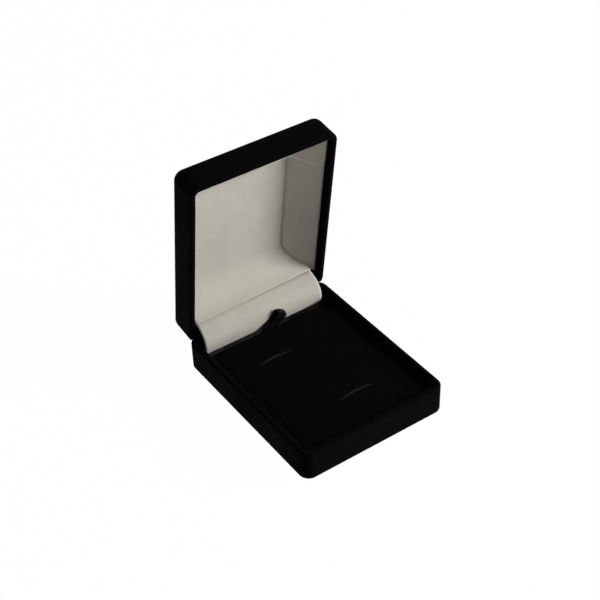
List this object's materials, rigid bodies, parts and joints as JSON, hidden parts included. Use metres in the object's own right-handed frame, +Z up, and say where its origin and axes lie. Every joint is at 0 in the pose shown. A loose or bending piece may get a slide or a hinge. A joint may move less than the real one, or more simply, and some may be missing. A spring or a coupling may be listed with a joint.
{
  "type": "cufflink display box",
  "caption": "Hinged velvet-covered box for a pair of cufflinks, with a pale cloth-lined lid and a slit velvet pad that a small ribbon lifts out.",
  "frame": {"origin": "middle of the box's underside", "axes": "X runs left to right along the hinge, +Y from the front edge to the hinge, +Z up; the lid is stored open"},
  "size_m": [0.072, 0.102, 0.1035],
  "materials": {
    "black_velvet": "flocked velvet, short pile",
    "lining_cloth": "matt, fine weave",
    "satin_ribbon": "satin",
    "shell_plastic": "moulded",
    "lining_card": "grey board",
    "bottom_card": "black card",
    "pad_foam": "open-cell foam",
    "hinge_steel": "plated",
    "spring_steel": "plain",
    "rivet_metal": "plain"
  },
  "bodies": {
    "base": {"base_shell": "shell_plastic", "base_velvet": "black_velvet", "base_bottom_panel": "bottom_card", "base_floor_liner": "lining_card", "flap_card": "lining_card", "flap_lining": "lining_cloth", "hinge_leaf_base_left": "hinge_steel", "hinge_leaf_base_right": "hinge_steel", "hinge_pin_left": "hinge_steel", "hinge_pin_right": "hinge_steel", "hinge_spring_left": "spring_steel", "hinge_spring_right": "spring_steel", "base_rivets": "rivet_metal"},
    "lid": {"lid_shell": "shell_plastic", "lid_velvet": "black_velvet", "lid_card": "lining_card", "lid_lining": "lining_cloth", "lid_side_card_left": "lining_card", "lid_side_card_right": "lining_card", "lid_side_lining_left": "lining_cloth", "lid_side_lining_right": "lining_cloth", "lid_front_card": "lining_card", "lid_front_lining": "lining_cloth", "hinge_leaf_lid_left": "hinge_steel", "hinge_leaf_lid_right": "hinge_steel", "lid_rivets": "rivet_metal"},
    "pad": {"pad_board": "lining_card", "pad_foam": "pad_foam", "pad_velvet": "black_velvet", "pull_ribbon": "satin_ribbon"}
  },
  "joints": [
    {"name": "lid_hinge", "type": "hinge", "parent": "base", "child": "lid", "pos_m": [0, 0.0427, 0.0151], "axis": [1, 0, 0], "range_deg": [0, 81.3], "deforming": ["pull_ribbon"]},
    {"name": "pad_lift", "type": "slide", "parent": "base", "child": "pad", "axis": [0, 0, 1], "range_m": [0, 0.006]}
  ]
}
